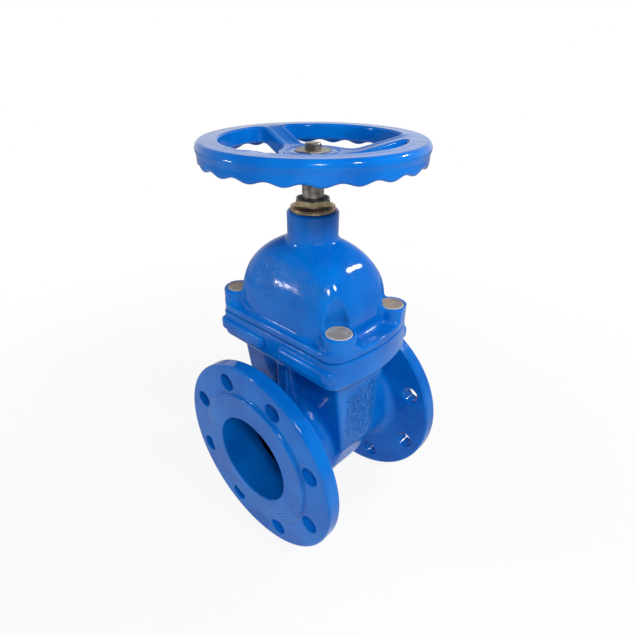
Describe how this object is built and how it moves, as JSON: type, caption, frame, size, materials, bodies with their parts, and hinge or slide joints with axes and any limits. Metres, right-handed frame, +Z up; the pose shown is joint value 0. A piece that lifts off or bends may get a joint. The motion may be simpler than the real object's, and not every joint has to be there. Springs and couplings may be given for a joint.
{
  "type": "resilient seat gate valve",
  "caption": "Flanged gate valve with a domed bolted bonnet, a rubber covered gate and a dished three spoke handwheel on a turning stem.",
  "frame": {"origin": "centre of the inlet flange's sealing face, on the pipe axis", "axes": "+X along the pipe from inlet to outlet, +Z up the stem to the handwheel, +Y across the pipe"},
  "size_m": [0.197, 0.22, 0.422],
  "materials": {
    "epoxy_paint": "glossy fusion bonded epoxy over cast iron",
    "wheel_paint": "glossy epoxy over cast iron, rubbed on the grip",
    "gasket_rubber": "matt black",
    "black_rubber": "smooth moulded black",
    "gland_brass": "turned",
    "nut_bronze": "turned",
    "stem_steel": "ground stainless",
    "zinc_steel": "plated",
    "sealing_wax": "poured hot melt",
    "white_plastic": "plain",
    "cast_core": "as cast"
  },
  "bodies": {
    "valve_body": {"body": "epoxy_paint", "bonnet": "epoxy_paint", "bonnet_gasket": "gasket_rubber", "bonnet_screw_1": "zinc_steel", "bonnet_screw_2": "zinc_steel", "bonnet_screw_3": "zinc_steel", "bonnet_screw_4": "zinc_steel", "wax_plug_1": "sealing_wax", "wax_plug_2": "sealing_wax", "wax_plug_3": "sealing_wax", "wax_plug_4": "sealing_wax", "gland_nut": "gland_brass", "wiper_ring": "black_rubber", "thrust_ring": "white_plastic"},
    "stem_group": {"stem": "stem_steel", "handwheel": "wheel_paint", "wheel_washer": "zinc_steel", "wheel_bolt": "zinc_steel"},
    "gate": {"gate_core": "cast_core", "gate_rubber": "black_rubber", "stem_nut": "nut_bronze"}
  },
  "joints": [
    {"name": "stem_turn", "type": "hinge", "parent": "valve_body", "child": "stem_group", "pos_m": [0.095, 0, 0.2], "axis": [0, 0, 1], "range_deg": [0, 7560]},
    {"name": "gate_lift", "type": "slide", "parent": "valve_body", "child": "gate", "axis": [0, 0, 1], "range_m": [0, 0.105]}
  ],
  "couplings": [
    {"joint": "gate_lift", "follows": "stem_turn", "m_per_rad": 0.00079577}
  ]
}
